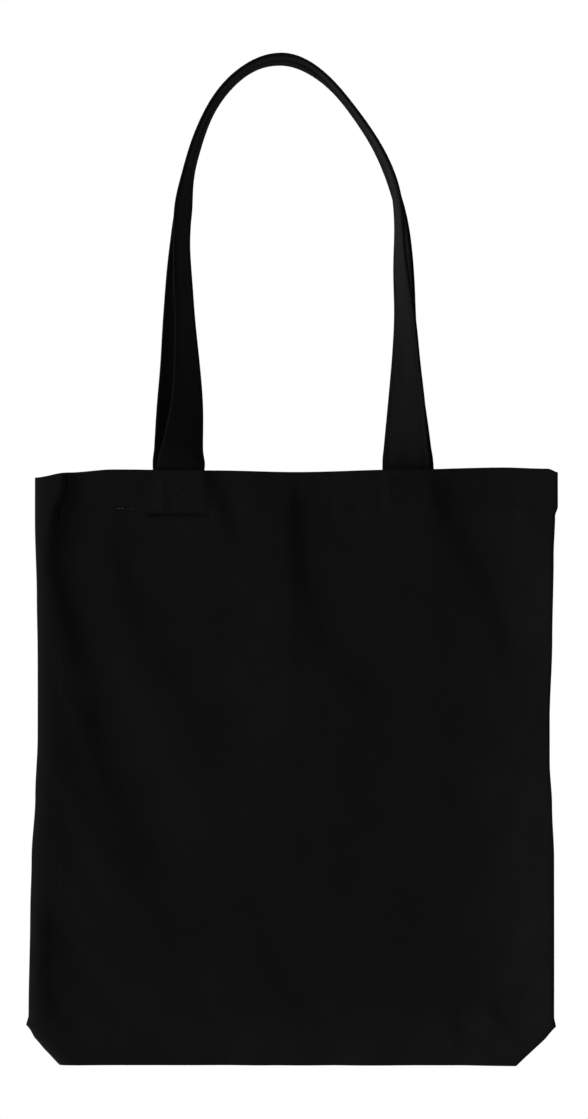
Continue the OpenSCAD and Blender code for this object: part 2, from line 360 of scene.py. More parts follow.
def forward(x, z):
    """How far the layer midway between front and back hangs in front of the middle plane. The sides lie
    level with the front, so the bag's fullness is behind them, and they carry the front's folds."""
    free = (0.45 + 0.55 * ramp(z, HEIGHT, HEM_Z - 90)) * (0.4 + 0.6 * ramp(z, 2, 40))
    edge = HALF_W * (1 - width_share(x, z))
    out = (middle_half(z) - side_half(z) + relief("front", x, z)) * together(x, z)
    out += EDGES_FORWARD * bell(np.maximum(edge - 3, 0), 21) * free
    out += np.where(x < 0, LEFT_ROLL, RIGHT_ROLL * free) * np.exp(-edge / 5)
    outer = (RIGHT_EDGE_FORWARD + RIGHT_LOW_FORWARD * ramp(z, 330, 160)) * ramp(x, 120, HALF_W + 12)
    out += (RIGHT_HALF_FORWARD * ramp(x, 10, HALF_W) + outer) * free
    return out


def place(x, y, z):
    """Where a point comes to that lies at x and z on the flat bag, y behind the layer midway through it."""
    x, y, z = np.broadcast_arrays(*(np.asarray(value, float) for value in (x, y, z)))
    share = (x / HALF_W + 1) / 2
    dx = along(z, LEFT_EDGE) * (1 - share) + along(z, RIGHT_EDGE) * share
    dz = along(x, HEM_TOP) * ramp(z, HEIGHT - HEM_TOP_FADE, HEIGHT)
    return np.stack([x + dx, y - forward(x, z), z + dz], -1)


def outward(side, x, z):
    """How far the cloth's outer surface is from the layer midway between front and back."""
    return half_thickness(x, z) + relief(side, x, z) * (1 - together(x, z))


def skin(side, x, z, depth=0.0):
    """Points on the cloth's outer surface, or a depth in from it, for places x and z on the flat cloth."""
    x, z = np.broadcast_arrays(np.asarray(x, float), np.asarray(z, float))
    y = outward(side, x, z) - depth
    return place(x, -y if side == "front" else y, z)


def skin_frame(side, x, z):
    """The surface's point, its directions along x and z, and its outward normal."""
    step = 0.5
    here = skin(side, x, z)
    by_x = unit(skin(side, x + step, z) - skin(side, x - step, z))
    by_z = unit(skin(side, x, z + step) - skin(side, x, z - step))
    normal = np.cross(by_x, by_z)
    normal *= (np.sign(normal[..., 1]) * (-1 if side == "front" else 1))[..., None]
    return here, by_x, by_z, unit(normal)


def front_share(x):
    """A share of the front's cloth at x: 1 between the straps' outer edges and 0 at the side seams, eased
    between."""
    return ramp(np.abs(x), HALF_W - 1, STRAPS["front"]["ends"][1] + STRAP_W / 2 + 2)


# ---------------- cloth simulation

SETTLE_COLS, SETTLE_ROWS = 81, 92  # the simulated cloth's points, across and from the bottom fold up
SETTLE_FRAMES = 26
SLACK = 0.005  # the share by which the cloth is longer than the space it hangs in
BROAD = 7  # points on each side of the ones that a broad swell is averaged over
MOST_SETTLED = 1.6  # the furthest that the simulation may move the surface
KEPT = {"front": 0.4, "back": 0.9}  # the share of that which is kept: the front hangs smoother than the back
SETTLED = {}


def settled(side, x, z):
    """How far the simulated cloth has come out at places on the flat bag."""
    if side not in SETTLED:
        return 0.0
    col = (x / half_width(z) + 1) / 2 * (SETTLE_COLS - 1)
    row = z / HEIGHT * (SETTLE_ROWS - 1)
    c = np.clip(col.astype(int), 0, SETTLE_COLS - 2)
    r = np.clip(row.astype(int), 0, SETTLE_ROWS - 2)
    across, up = smooth(col - c), smooth(row - r)
    grid = SETTLED[side]
    low = grid[r, c] * (1 - across) + grid[r, c + 1] * across
    high = grid[r + 1, c] * (1 - across) + grid[r + 1, c + 1] * across
    return low * (1 - up) + high * up


def averaged(grid, reach):
    """Each point's mean over a square of points around it."""
    wide = np.pad(grid, reach, "edge")
    sums = np.pad(np.cumsum(np.cumsum(wide, 0), 1), ((1, 0), (1, 0)))
    size = 2 * reach + 1
    return (sums[size:, size:] - sums[:-size, size:] - sums[size:, :-size] + sums[:-size, :-size]) / size**2


def let_settle(side):
    """Hangs one side of the bag as slack cloth, held at the hem, the seams and the bottom fold, and keeps
    the small folds that it buckles into under its own weight."""
    u, z = np.meshgrid(np.linspace(-1, 1, SETTLE_COLS), np.linspace(0, HEIGHT, SETTLE_ROWS))
    x = u * half_width(z) * 0.999
    start = skin(side, x, z)
    obj = mesh_object(f"{side}_settling", start.reshape(-1, 3), grid_faces(SETTLE_ROWS, SETTLE_COLS))
    held = np.maximum(ramp(np.abs(u), 0.93, 0.99), np.maximum(ramp(z, 14, 3), ramp(z, HEM_Z - 6, HEM_Z + 6)))
    pins = obj.vertex_groups.new(name="held")
    for index, weight in enumerate(held.ravel()):
        pins.add([index], float(weight), "REPLACE")
    cloth = obj.modifiers.new("cloth", "CLOTH")
    cloth.settings.quality = 6
    cloth.settings.mass = 0.35
    cloth.settings.tension_stiffness = cloth.settings.compression_stiffness = 14
    cloth.settings.shear_stiffness = 5
    cloth.settings.bending_stiffness = 0.6
    cloth.settings.air_damping = 2
    cloth.settings.vertex_group_mass = "held"
    cloth.settings.shrink_min = -SLACK
    cloth.collision_settings.use_collision = False
    cloth.collision_settings.use_self_collision = False
    cloth.point_cache.frame_start, cloth.point_cache.frame_end = 1, SETTLE_FRAMES
    scene = bpy.context.scene
    for number in range(1, SETTLE_FRAMES + 1):
        scene.frame_set(number)
    mesh = obj.evaluated_get(bpy.context.evaluated_depsgraph_get()).to_mesh()
    ends = np.empty(len(mesh.vertices) * 3)
    mesh.vertices.foreach_get("co", ends)
    moved = (ends.reshape(start.shape) - to_frame(start))[..., 1] / MM * (-1 if side == "front" else 1)
    scene.frame_set(1)
    data = obj.data
    bpy.data.objects.remove(obj)
    bpy.data.meshes.remove(data)
    free = (1 - held) * ramp(np.abs(u), 1.0, 0.9)
    small = averaged(moved - averaged(moved, BROAD), 1)
    return KEPT[side] * MOST_SETTLED * np.tanh(small / MOST_SETTLED) * free


# ---------------- materials


class Nodes:
    """Short ways to add shader nodes to one material."""

    def __init__(self, name):
        self.material = bpy.data.materials.new(name)
        self.material.use_nodes = True
        self.tree = self.material.node_tree
        self.shader = self.tree.nodes["Principled BSDF"]

    def add(self, kind, settings=None, **inputs):
        node = self.tree.nodes.new("ShaderNode" + kind)
        for key, value in (settings or {}).items():
            setattr(node, key, value)
        for key, value in inputs.items():
            socket = node.inputs[int(key[1:])] if key[0] == "i" and key[1:].isdigit() else node.inputs[key]
            self.feed(socket, value)
        return node

    def feed(self, socket, value):
        if isinstance(value, bpy.types.NodeSocket):
            self.tree.links.new(value, socket)
        else:
            socket.default_value = value

    def math(self, operation, a, b=0.0, c=0.0):
        return self.add("Math", {"operation": operation}, i0=a, i1=b, i2=c).outputs[0]

    def noise(self, vector, scale, detail=3.0, rough=0.55):
        node = self.add("TexNoise", Vector=vector, Scale=scale, Detail=detail, Roughness=rough)
        return node.outputs["Fac"]

    def stretched(self, vector, x, y):
        return self.add("Mapping", Vector=vector, Scale=(x, y, 1.0)).outputs[0]

    def faded(self, value, start, end, low, high):
        """Low where the value is at start, high where it is at end, and clamped outside."""
        limits = {"From Min": start, "From Max": end, "To Min": low, "To Max": high}
        return self.add("MapRange", Value=value, **limits).outputs[0]

    def shades(self, value, dark, light, start=0.0):
        """A colour from dark, where the value is at start or less, to light, where it is 1."""
        node = self.add("ValToRGB", Fac=value)
        low, high = node.color_ramp.elements
        low.position, low.color = start, (*dark, 1)
        high.color = (*light, 1)
        return node.outputs[0]

    def bumps(self, height, strength, distance):
        node = self.add("Bump", Strength=strength, Distance=distance, Height=height)
        self.feed(self.shader.inputs["Normal"], node.outputs[0])


DARK_CLOTH, LIGHT_CLOTH = (0.0050, 0.0050, 0.0052), (0.0145, 0.0145, 0.0150)


def weave_material(name, pitch, bump, painted_edge_shade=False):
    """Plain-weave cotton: crossing threads with slubs, uneven dye and a little fuzz. UVs are in metres."""
    n = Nodes(name)
    uv = n.add("UVMap", {"uv_map": "cloth"}).outputs[0]
    split = n.add("SeparateXYZ", Vector=uv)
    wobble = n.math("MULTIPLY", n.math("SUBTRACT", n.noise(uv, 90.0, 2.0), 0.5), 0.0006)
    k = math.pi / pitch
    u = n.math("MULTIPLY", n.math("ADD", split.outputs[0], wobble), k)
    v = n.math("MULTIPLY", n.math("ADD", split.outputs[1], wobble), k)
    sin_u, sin_v = n.math("SINE", u), n.math("SINE", v)
    over = n.math("MULTIPLY_ADD", n.math("MULTIPLY", sin_u, sin_v), 0.5, 0.5)
    warp = n.math("MULTIPLY", n.math("ABSOLUTE", sin_u), over)
    weft = n.math("MULTIPLY", n.math("ABSOLUTE", sin_v), n.math("SUBTRACT", 1.0, over))
    threads = n.math("ADD", warp, weft)
    warp_slubs = n.noise(n.stretched(uv, 900.0, 45.0), 1.0, 2.0)
    weft_slubs = n.noise(n.stretched(uv, 45.0, 900.0), 1.0, 2.0)
    slubs = n.math("ADD", warp_slubs, weft_slubs)
    blotches = n.noise(uv, 14.0, 4.0)
    fuzz = n.noise(uv, 2600.0, 2.0, 0.7)
    tone = n.math("MULTIPLY", blotches, 0.4)
    for part, share in ((slubs, 0.25), (threads, 0.30), (fuzz, 0.12)):
        tone = n.math("ADD", tone, n.math("MULTIPLY", part, share))
    plain = n.shades(tone, DARK_CLOTH, LIGHT_CLOTH, 0.35)
    # a few specks of pale lint: cells of the texture whose middles happen to lie close to the surface
    cells = n.add("TexVoronoi", Vector=uv, Scale=13.0)
    chosen = n.math("GREATER_THAN", n.add("SeparateColor", Color=cells.outputs["Color"]).outputs[0], 0.72)
    speck = n.math("MULTIPLY", n.math("LESS_THAN", cells.outputs["Distance"], 0.0045), chosen)
    colour = n.add("MixRGB", Fac=speck, Color1=plain, Color2=(0.07, 0.07, 0.07, 1)).outputs[0]
    if painted_edge_shade:
        # painted shade: the strap's colour is darkened along both edges, where its tight folds hold shade,
        # and the whole strap is a little darker
        inward = n.math("PINGPONG", n.math("ADD", split.outputs[0], STRAP_W / 2 * MM), STRAP_W / 2 * MM)
        shade = n.faded(inward, 0.0, 0.0017, 0.48, 0.88)
    else:
        # lighter towards the bottom fold, less at the bag's left; and painted light along the right side
        # seam, where the cloth is lighter as if its edge caught the light
        bottom = n.faded(split.outputs[1], 0.050, 0.002, 0.0, 0.45)
        bottom = n.math("MULTIPLY", bottom, n.faded(split.outputs[0], -0.10, 0.03, 0.0, 1.0))
        from_seam = n.math("ABSOLUTE", n.math("SUBTRACT", split.outputs[0], HALF_W * MM))
        shade = n.math("ADD", n.math("MAXIMUM", bottom, n.faded(from_seam, 0.065, 0.012, 0.0, 0.2)), 1.0)
    colour = n.add("VectorMath", {"operation": "SCALE"}, i0=colour, Scale=shade).outputs[0]
    n.feed(n.shader.inputs["Base Color"], colour)
    n.feed(n.shader.inputs["Roughness"], n.math("MULTIPLY_ADD", slubs, 0.1, 0.80))
    n.bumps(n.math("ADD", threads, n.math("MULTIPLY", slubs, 0.55)), bump, 0.0004)
    n.shader.inputs["Specular IOR Level"].default_value = 0.12
    n.shader.inputs["Sheen Weight"].default_value = 0.03
    n.shader.inputs["Sheen Roughness"].default_value = 0.45
    return n.material


WORN_X, WORN_HALF = -126, 12  # the pale stretch's middle, and half its length


def thread_material():
    """Twisted cotton thread, a touch smoother than the cloth."""
    n = Nodes("thread")
    spot = n.add("TexCoord").outputs["Object"]
    diagonal = {"wave_type": "BANDS", "bands_direction": "DIAGONAL"}
    twist = n.add("TexWave", diagonal, Vector=spot, Scale=900.0).outputs[0]
    fuzz = n.noise(spot, 1500.0, 2.0)
    tone = n.math("ADD", n.math("MULTIPLY", twist, 0.5), n.math("MULTIPLY", fuzz, 0.5))
    plain = n.shades(tone, (0.005, 0.005, 0.0052), (0.013, 0.013, 0.0135))
    # the front hem's thread is worn pale on a short stretch beside the left strap
    along_x, depth = n.add("SeparateXYZ", Vector=spot).outputs[:2]
    away = n.math("ABSOLUTE", n.math("SUBTRACT", along_x, float(to_frame((WORN_X, 0, 0))[0])))
    worn = n.faded(away, WORN_HALF * MM, 0.0, 0.0, 1.0)
    worn = n.math("MULTIPLY", worn, n.math("GREATER_THAN", n.noise(spot, 160.0, 1.0), 0.5))
    worn = n.math("MULTIPLY", worn, n.math("LESS_THAN", depth, 0.0))
    colour = n.add("MixRGB", Fac=worn, Color1=plain, Color2=(0.15, 0.15, 0.15, 1))
    n.feed(n.shader.inputs["Base Color"], colour.outputs[0])
    n.bumps(twist, 0.5, 0.0002)
    n.shader.inputs["Roughness"].default_value = 0.62
    n.shader.inputs["Specular IOR Level"].default_value = 0.15
    return n.material


CANVAS = weave_material("canvas", pitch=0.00075, bump=0.55)
WEBBING = weave_material("webbing", pitch=0.00065, bump=0.6, painted_edge_shade=True)
THREAD = thread_material()


def dress(obj, material):
    obj.data.materials.append(material)


# ---------------- the body's cloth

# the grid's columns lie close together at the sharp crease and towards the edges, and its rows at the hem's
# stitching and the bottom fold
CORE_COLS = np.concatenate([np.linspace(-176, -164, 24), np.arange(-162, 174.1, 3.0)])
SIDE_COLS = HALF_W - np.array([13.5, 11, 9, 7.2, 5.6, 4.2, 3, 2, 1.2, 0.55, 0.15])
FLAT_COLS = np.concatenate([-SIDE_COLS[::-1], CORE_COLS, SIDE_COLS])
OUTER_ROWS = np.concatenate([
    np.linspace(HEIGHT, HEM_Z + 8, 11)[:-1], np.linspace(HEM_Z + 8, HEM_Z - 6, 15)[:-1],
    np.linspace(HEM_Z - 6, 8, 131), [5.5, 3.5, 1.8, 0.6, 0],
])
INNER = CLOTH / 2 + FACING  # from the outer surface to the middle of the hem's inmost layer
SEAM_GROOVE = 1.3


def body_rows(side, cols):
    """Rows of points of one side of the bag: up the inside of the hem, over its top, down the outside
    and a little way in under the bottom fold. Each comes with its places on the flat cloth."""
    rows, flats = [], []

    def add(z, depth, flat_z, lower=0.0):
        x = cols * half_width(z) / HALF_W
        points = skin(side, x, np.full(x.shape, z), depth)
        points[:, 2] -= lower
        rows.append(points)
        flats.append(np.stack([cols, np.full(cols.shape, flat_z)], -1))

    for z in np.linspace(HEM_Z, HEIGHT - 1.5, 13):
        add(z, INNER, 2 * HEIGHT - z)
    middle = (INNER + CLOTH / 2) / 2
    radius = INNER - middle
    for turn in (30, 70, 110, 150):
        swing = math.radians(turn)
        depth = middle + radius * math.cos(swing)
        add(HEIGHT, depth, HEIGHT + 1.5 - turn / 60, -radius * math.sin(swing) + 1.0)
    for z in OUTER_ROWS:
        add(z, CLOTH / 2, z, ramp(z, HEIGHT - 6, HEIGHT))
    for z, depth, lower in ((0.0, 0.8, 0.3), (0.2, 1.8, 0.0), (4.0, 2.2, 0.0)):
        add(z, CLOTH / 2 + depth, -2.0 * depth, lower)
    return np.array(rows), np.array(flats)


def seam_column(front, back):
    """The side seam: a shallow groove between the last columns of the front and the back."""
    middle = (front + back) / 2
    middle[:, 0] -= np.sign(middle[:, 0]) * SEAM_GROOVE
    return middle[:, None]


def make_body():
    front, front_flat = body_rows("front", FLAT_COLS)
    back, back_flat = body_rows("back", FLAT_COLS[::-1])
    right = seam_column(front[:, -1], back[:, 0])
    left = seam_column(front[:, 0], back[:, -1])
    points = np.concatenate([front, right, back, left], 1)
    # the back's flat cloth lies beyond the front's, so that the weave doesn't mirror
    back_flat = back_flat * [-1, 1] + [2 * HALF_W, 0]
    flats = np.concatenate([front_flat, front_flat[:, -1:], back_flat, front_flat[:, :1]], 1)
    rows, cols = points.shape[:2]
    shares = np.zeros((rows, cols))
    shares[:, :len(FLAT_COLS)] = front_share(FLAT_COLS)
    faces = grid_faces(rows, cols, True)[:, ::-1]
    obj = mesh_object("bag_cloth", points.reshape(-1, 3), faces, flats.reshape(-1, 2))
    follow_front(obj)
    thicken(obj, CLOTH)
    dress(obj, CANVAS)
    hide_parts("front_panel", "back_panel", "front_hem", "back_hem")


# ---------------- straps

# The left and right sides of each loop, close to the frame's. A side's curve has three middle control
# points, each a share of its end's distance from the top, sideways and down, and then how slowly the strap's
# turn starts and how soon it ends
LOOPS = {
    "front": (
        ((0.70, 0.56), (1.35, 0.47), (0.94, 0), (0.50, 1.60)),
        ((0.99, 0.07), (0.95, 0.43), (0.61, 0), (0.75, 2.10)),
    ),
    "back": (
        ((1.11, 0.34), (0.87, 0.30), (0.79, 0), (0.55, 1.60)),
        ((0.87, 0.09), (1.09, 0.56), (0.68, 0), (0.65, 1.80)),
    ),
}
# Around two places, as shares of the way up, the left sides are turned by some degrees less. The right sides
# are moved at the first place and the left ones at the second, and above 0 is to the right
HALFWAY, HIGHER = 0.50, 0.64
HALFWAY_FLATTER, HIGHER_FLATTER = 5.5, 8
HALFWAY_RIGHT_MOVED = {"front": -2.0, "back": 2.4}
HIGHER_LEFT_MOVED = 0.3
STRAP_REST_Y = MOUTH_HALF - CLOTH - FACING - STRAP_T / 2
STRAP_TOP_Y = STRAP_W / 2 + STRAPS["front"]["gap"]


def curve_point(points, t):
    """The point at t on the curve with these control points, and its way there."""
    way = None
    while len(points) > 1:
        if len(points) == 2:
            way = points[1] - points[0]
        points = [a + (b - a) * t for a, b in zip(points, points[1:])]
    return points[0], way


def strap_path(side, s):
    """The strap's middle and its directions, across and out of its face, at s: -1 and 1 at the hem, 0 over
    the peg, and beyond either end the stretch inside the hem, where s counts on in shares of its length."""
    spec, shapes = STRAPS[side], LOOPS[side]
    s = np.asarray(s, float)
    left = s < 0
    t = 1 - np.minimum(np.abs(s), 1)
    top = PEG_Z + STRAP_T / 2

    def of_side(pick):
        return np.where(left, pick(shapes[0], spec["ends"][0]), pick(shapes[1], spec["ends"][1]))

    base = of_side(lambda shape, end: end - LOOP_X)
    xs = [base] + [base * of_side(lambda shape, end: shape[i][0]) for i in range(3)] + [0 * base]
    zs = [top - (top - HEIGHT) * of_side(lambda shape, end: shape[i][1]) for i in range(3)]
    x, dx = curve_point(xs, t)
    z, dz = curve_point([HEIGHT + 0 * base] + zs + [top + 0 * base], t)
    way = np.where(left, 1, -1) / np.hypot(dx, dz)
    up = np.clip((z - HEIGHT) / (top - HEIGHT), 0, 1)
    # the strap leaves the hem straight up, and leans and turns from there
    inside = np.maximum(np.abs(s) - 1, 0)
    dx, dz = dx * way * ramp(up, 0, 0.05), dz * way
    dx, dz = dx / np.hypot(dx, dz), dz / np.hypot(dx, dz)
    start, early = (of_side(lambda shape, end: shape[3][i]) for i in range(2))
    turn = np.radians(90) * (1 - (1 - up**start) ** early) * ramp(up, -0.01, 0.06)
    halfway, higher = bell(up - HALFWAY, 0.12), bell(up - HIGHER, 0.07)
    turn -= np.radians(HALFWAY_FLATTER * halfway + HIGHER_FLATTER * higher) * left
    x = x + np.where(left, HIGHER_LEFT_MOVED * higher, HALFWAY_RIGHT_MOVED[side] * halfway)
    sin, cos = np.sin(turn), np.cos(turn)
    zero = 0 * sin
    aside = np.stack([-dz, zero, dx], -1)
    y = -STRAP_REST_Y - (STRAP_TOP_Y - STRAP_REST_Y) * sin
    face = np.stack([zero, -cos, zero], -1) - sin[..., None] * aside
    wide = np.stack([zero, -sin, zero], -1) + cos[..., None] * aside
    if side == "back":
        # it turns the same way as the front strap, and lies behind it
        y, face, wide = -y, -face, -wide
    middle = np.stack([LOOP_X + x, y, z - inside * spec["tail"]], -1)
    return middle, wide, face


def strap_lengths(side):
    """Places s along the strap and their distances from its first end, in millimetres."""
    s = np.linspace(-2, 2, 4001)
    middle = strap_path(side, s)[0]
    run = np.concatenate([[0], np.cumsum(np.linalg.norm(np.diff(middle, axis=0), axis=1))])
    return s, run


STITCH_LINE = STRAP_W / 2 - 4  # from the strap's middle
STITCH_PITCH, STITCH_LENGTH = 3.6, 2.9
STRAP_STEP = 1.8  # between the strap's rings of points
STRAP_MARKS = np.array([  # the points' places across it, from an edge to the middle
    0.02, 0.12, 0.35, 0.8, 1.5, 2.4, 3.2, 3.6, 4.0, 4.4, 4.8, 5.6, 7.5, 10.5, 14, 17.5,
])
STRAP_SEEDS = {"front": 5, "back": 23}


def strap_half_thickness(a, run):
    """Half the thickness at a from the strap's middle: rounded folds at both edges, and a channel
    under each line of stitching, pinched a little deeper at every stitch."""
    edge = np.clip((STRAP_W / 2 - np.abs(a)) / (STRAP_T / 2), 0, 1)
    body = STRAP_T / 2 * np.sqrt(1 - (1 - edge) ** 2)
    pinch = 0.8 + 0.2 * np.cos(2 * math.pi * run / STITCH_PITCH)
    channel = 0.42 * pinch * bell(np.abs(a) - STITCH_LINE, 0.9)
    return body - channel * (edge >= 1)


def strap_waver(side, a, run):
    """How far the strap lies out of its path's face: a soft cup across the width and a slow waver along
    it, as in a strap that has been carried."""
    seed = STRAP_SEEDS[side]
    return 0.5 * ripples(run, 0 * run, 130, seed) + 0.28 * ripples(run, a * 3, 46, seed + 1)


def strap_shift(side, run):
    """How far it lies to one side of its path."""
    return 0.25 * ripples(run, 0 * run, 55, STRAP_SEEDS[side] + 2)


def make_strap(side):
    s_all, run_all = strap_lengths(side)
    run = np.arange(0, run_all[-1] + STRAP_STEP / 2, STRAP_STEP)
    middle, wide, face = strap_path(side, np.interp(run, run_all, s_all))
    half = STRAP_W / 2
    across = np.concatenate([-half + STRAP_MARKS, (half - STRAP_MARKS)[-2::-1]])
    ring_a = np.concatenate([across, across[::-1]])
    ring_side = np.concatenate([np.ones(len(across)), -np.ones(len(across))])
    a, r = np.meshgrid(ring_a, run)
    out = strap_half_thickness(a, r) * ring_side + strap_waver(side, a, r)
    # the raw edge is folded in under one half of the inner face
    out -= 0.22 * bell(a - 3.5, 0.7) * (ring_side < 0)
    a = a + strap_shift(side, r)
    points = middle[:, None] + wide[:, None] * a[..., None] + face[:, None] * out[..., None]
    flat_a = np.concatenate([across, 2 * half - across[::-1]])
    flats = np.stack(np.broadcast_arrays(flat_a[None, :], run[:, None]), -1)
    rows, cols = points.shape[:2]
    faces = [tuple(f) for f in grid_faces(rows, cols, True)]
    faces += [tuple(range(cols))[::-1], tuple(range((rows - 1) * cols, rows * cols))]
    obj = mesh_object(f"{side}_strap_cloth", points.reshape(-1, 3), faces, flats.reshape(-1, 2))
    blend_strap(obj)
    dress(obj, WEBBING)
    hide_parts(f"{side}_strap", f"{side}_strap_left_end", f"{side}_strap_right_end")


def blend_strap(obj):
    """Moves a strap's placement into its points."""
    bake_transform(obj)


# ---------------- stitches

# a stitch's rings of points: each one's place along it in lengths, and its radius and height in thread radii
RINGS = np.array([
    (-0.5, 0.25, -0.9), (-0.38, 0.8, -0.1), (-0.15, 1, 0.3), (0.15, 1, 0.3), (0.38, 0.8, -0.1),
    (0.5, 0.25, -0.9),
])
RING_SIDES = 6
POINTS_PER_STITCH = len(RINGS) * RING_SIDES
SEWING_RADIUS, STRAP_SEWING_RADIUS, OVERLOCK_RADIUS = 0.26, 0.3, 0.2
SEWING_OUT = 0.03  # how far the middles of the hem's and the boxes' stitches lie out of the cloth
STRAP_SEWING_IN = 0.2  # and how deep the strap's lie in their channels


def stitch_mesh(name, middles, ways, normals, length, radius):
    """One short arched capsule of thread for each stitch."""
    angle = 2 * math.pi * np.arange(RING_SIDES) / RING_SIDES
    across = np.cross(ways, normals)
    up = radius * (RINGS[:, 2:3] + RINGS[:, 1:2] * np.sin(angle))
    points = (
        middles[:, None, None]
        + ways[:, None, None] * (RINGS[:, 0] * length)[:, None, None]
        + normals[:, None, None] * up[..., None]
        + across[:, None, None] * (radius * RINGS[:, 1:2] * np.cos(angle))[..., None]
    )
    starts = POINTS_PER_STITCH * np.arange(len(middles))
    tube = grid_faces(len(RINGS), RING_SIDES, True)[:, ::-1]
    faces = [tuple(f) for f in (tube[None] + starts[:, None, None]).reshape(-1, 4)]
    for start in starts:
        faces.append(tuple(start + k for k in range(RING_SIDES)))
        faces.append(tuple(start + POINTS_PER_STITCH - 1 - k for k in range(RING_SIDES)))
    obj = mesh_object(name, points.reshape(-1, 3), faces)
    dress(obj, THREAD)
    return obj


def skin_stitches(name, side, lines):
    """Stitches on the bag's surface, along straight lines given as pairs of (x, z) ends."""
    xs, zs, dirs = [], [], []
    for start, end in lines:
        start, end = np.array(start, float), np.array(end, float)
        run = np.linalg.norm(end - start)
        count = max(1, round(run / STITCH_PITCH))
        t = (np.arange(count) + 0.5) / count
        xs.append(start[0] + (end - start)[0] * t)
        zs.append(start[1] + (end - start)[1] * t)
        dirs.append(np.tile((end - start) / run, (count, 1)))
    x, z, d = np.concatenate(xs), np.concatenate(zs), np.concatenate(dirs)
    here, by_x, by_z, normal = skin_frame(side, x, z)
    way = unit(by_x * d[:, :1] + by_z * d[:, 1:])
    obj = stitch_mesh(name, here + normal * SEWING_OUT, way, normal, STITCH_LENGTH, SEWING_RADIUS)
    if side == "front":
        follow_front(obj)
    else:
        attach(obj, "back")
    return obj


def make_hem_stitches(side):
    reach, z = HALF_W - 5, HEM_Z + HEM_LINE_UP
    obj = skin_stitches(f"{side}_hem_thread", side, [((-reach, z), (reach, z))])
    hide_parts(f"{side}_hem_stitches")


def make_box_stitches(side, name, middle):
    """A square with both diagonals, which holds a strap's end."""
    x0, x1 = middle - STITCH_LINE, middle + STITCH_LINE
    z0, z1 = HEM_Z + 5.5, HEIGHT - 5
    lines = [
        ((x0, z0), (x1, z0)), ((x0, z1), (x1, z1)), ((x0, z0), (x0, z1)), ((x1, z0), (x1, z1)),
        ((x0 + 1, z0 + 1), (x1 - 1, z1 - 1)), ((x0 + 1, z1 - 1), (x1 - 1, z0 + 1)),
    ]
    obj = skin_stitches(f"{side}_{name}_box_thread", side, lines)
    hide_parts(f"{side}_{name}_box_stitches")


def make_strap_stitches(side):
    s_all, run_all = strap_lengths(side)
    # the lines run on for 20 mm under the hem
    start = STRAPS[side]["tail"] - 20
    run = np.arange(start, run_all[-1] - start, STITCH_PITCH)
    here, here_wide, _ = strap_path(side, np.interp(run, run_all, s_all))
    ahead, ahead_wide, _ = strap_path(side, np.interp(run + 1, run_all, s_all))
    middles, ways, normals = [], [], []
    for line in (-STITCH_LINE, STITCH_LINE):
        way = unit((ahead + ahead_wide * line) - (here + here_wide * line))
        shift = line + strap_shift(side, run)
        # the inner face's stitches show between the outer face's
        for turned, later in ((1, 0), (-1, STITCH_PITCH / 2)):
            middle, wide, face = strap_path(side, np.interp(run + later, run_all, s_all))
            out = (STRAP_T / 2 - STRAP_SEWING_IN) * turned + strap_waver(side, line, run)
            middles.append(middle + wide * shift[:, None] + face * out[:, None])
            ways.append(way)
            normals.append(face * turned)
    middles, ways, normals = map(np.concatenate, (middles, ways, normals))
    obj = stitch_mesh(f"{side}_strap_thread", middles, ways, normals, STITCH_LENGTH, STRAP_SEWING_RADIUS)
    blend_strap(obj)
    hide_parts(f"{side}_strap_stitches")


# ---------------- the base, and seams inside

OVERLOCK_PITCH, OVERLOCK_LENGTH = 2.6, 3.0
OVERLOCK_IN, OVERLOCK_OUT = 1.6, 0.12  # how far its stitches lie in from the raw edge, and out of the cloth
OVERLOCK_LEAN = 0.35


def plain_sheet(name, points, flats, thickness, node):
    """A sheet from a grid of points, which goes with the back and stands for one node."""
    rows, cols = points.shape[:2]
    obj = mesh_object(name, points.reshape(-1, 3), grid_faces(rows, cols), flats.reshape(-1, 2))
    thicken(obj, thickness)
    dress(obj, CANVAS)
    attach(obj, "back")
    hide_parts(node)
    return obj


def make_base():
    """The base hangs folded up between the panels, as an upturned V with a soft ridge."""
    x = np.arange(-(HALF_W - FOLD) + 0.5, HALF_W - FOLD, 3.0)
    rows, flats = [], []
    for v in np.linspace(-1, 1, 31):
        up = 1 - abs(v)
        rounding = up if up < 0.9 else 0.9 + 0.1 * math.sin((up - 0.9) * 5 * math.pi)
        z = 0.9 + (RIDGE_Z - 1.5) * rounding + 0 * x
        room = outward("front" if v < 0 else "back", x, z) - CLOTH - 0.9
        y = np.sign(v) * room * (1 - 0.86 * up) + 0.5 * up * (1 - up) * ripples(x, 0 * x + 30 * v, 60, 71)
        rows.append(place(x, y, z))
        flats.append(np.stack([x, 0 * x + FOLD * v], -1))
    obj = plain_sheet("base_cloth", np.array(rows), np.array(flats), CLOTH, "base_gusset")


def raw_edge(node, points, flats, places, outside):
    """A seam allowance inside the bag: two layers with an overlocked edge. places run along the raw edge,
    and outside is the direction out of it."""
    plain_sheet(f"{node}_cloth", points, flats, 2 * CLOTH, node)
    way = unit(np.gradient(places, axis=0))
    outside = np.broadcast_to(np.array(outside, float), places.shape)
    flat = np.cross(way, outside)
    middles, ways, normals = [], [], []
    for turned in (1, -1):
        for lean in (OVERLOCK_LEAN, -OVERLOCK_LEAN):
            middles.append(places - outside * OVERLOCK_IN + flat * turned * (CLOTH + OVERLOCK_OUT))
            ways.append(outside + way * lean)
            normals.append(flat * turned)
    # the loops over the edge itself
    middles.append(places + outside * OVERLOCK_OUT)
    ways.append(flat)
    normals.append(outside)
    middles, ways, normals = map(np.concatenate, (middles, ways, normals))
    obj = stitch_mesh(f"{node}_overlock", middles, unit(ways), normals, OVERLOCK_LENGTH, OVERLOCK_RADIUS)
    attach(obj, "back")


